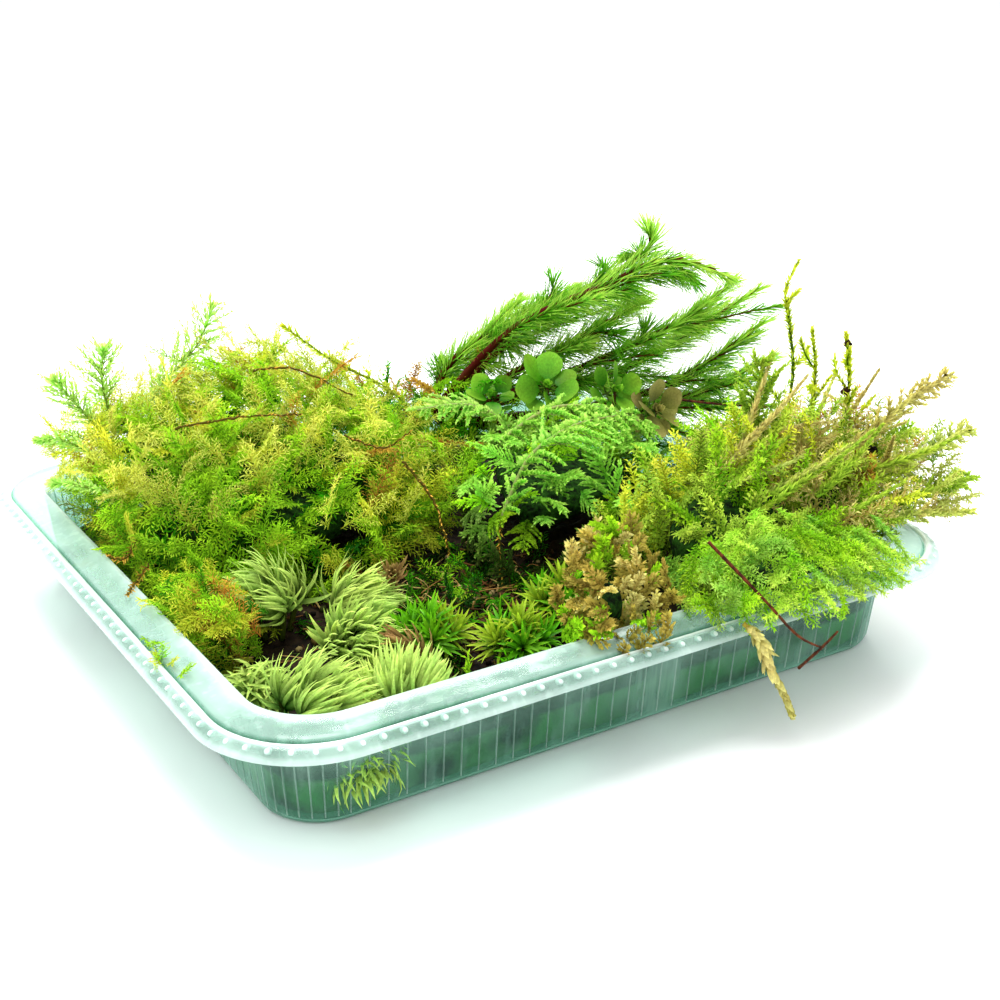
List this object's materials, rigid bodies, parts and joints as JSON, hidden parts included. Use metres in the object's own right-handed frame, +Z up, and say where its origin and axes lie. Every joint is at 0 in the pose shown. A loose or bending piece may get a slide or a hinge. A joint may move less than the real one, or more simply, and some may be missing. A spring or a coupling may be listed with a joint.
{
  "type": "moss clump in a clear tray",
  "caption": "Mixed living mosses and a little soil heaped in a shallow clear plastic tray with a beaded flange.",
  "frame": {"origin": "middle of the tray's flat underside", "axes": "+X along the tray's long front side to the right, +Y from that side towards the back, +Z up"},
  "size_m": [0.1733, 0.1625, 0.0715],
  "materials": {
    "clear_plastic": "clear thermoformed sheet with a pale mint tint",
    "soil": "dark crumbly humus",
    "feather_moss": "fine yellow-green feather moss",
    "pale_moss": "pale whitish green cushion moss",
    "star_moss": "darker green star-like moss",
    "frond_moss": "saturated green frond moss",
    "mat_moss": "yellow-green coarse moss with brown dead parts",
    "tan_moss": "dry tan moss",
    "round_leaf": "thin round leaves, slightly glossy",
    "olive_leaf": "thin olive-brown round leaves",
    "haircap_moss": "narrow green leaves on reddish brown stems",
    "dead_shoot": "dry brown and yellow shoots",
    "twig_bark": "thin reddish brown bark"
  },
  "bodies": {
    "root": {"tray": "clear_plastic", "soil": "soil", "feather_moss_dome": "feather_moss", "left_edge_moss": "feather_moss", "centre_frond_moss": "frond_moss", "right_moss_mat": "mat_moss", "front_overhang_moss": "frond_moss", "tan_dried_moss": "tan_moss", "dome_sprig_1": "feather_moss", "dome_sprig_2": "feather_moss", "dome_sprig_3": "feather_moss", "dome_sprig_4": "feather_moss", "dome_sprig_5": "feather_moss", "dome_sprig_6": "feather_moss", "stair_frond_1": "frond_moss", "stair_frond_2": "frond_moss", "stair_frond_3": "frond_moss", "haircap_shoot_1": "haircap_moss", "haircap_shoot_2": "haircap_moss", "haircap_shoot_3": "haircap_moss", "haircap_shoot_4": "haircap_moss", "haircap_shoot_5": "haircap_moss", "haircap_shoot_6": "haircap_moss", "haircap_shoot_7": "haircap_moss", "haircap_shoot_8": "haircap_moss", "haircap_shoot_9": "haircap_moss", "right_shoot_1": "mat_moss", "right_shoot_2": "mat_moss", "right_shoot_3": "mat_moss", "right_shoot_4": "mat_moss", "right_shoot_5": "mat_moss", "right_shoot_6": "mat_moss", "right_shoot_7": "mat_moss", "right_shoot_8": "mat_moss", "right_shoot_9": "mat_moss", "dead_shoot_1": "dead_shoot", "dead_shoot_2": "dead_shoot", "dead_shoot_3": "dead_shoot", "pale_tuft_1": "pale_moss", "pale_tuft_2": "pale_moss", "pale_tuft_3": "pale_moss", "pale_tuft_4": "pale_moss", "pale_tuft_5": "pale_moss", "pale_tuft_6": "pale_moss", "pale_tuft_7": "pale_moss", "star_tuft_1": "star_moss", "star_tuft_2": "star_moss", "star_tuft_3": "star_moss", "round_leaf_rosette_1": "round_leaf", "round_leaf_rosette_2": "round_leaf", "round_leaf_rosette_3": "round_leaf", "olive_leaf_rosette": "olive_leaf", "twig_1": "twig_bark", "twig_2": "twig_bark"}
  },
  "joints": []
}
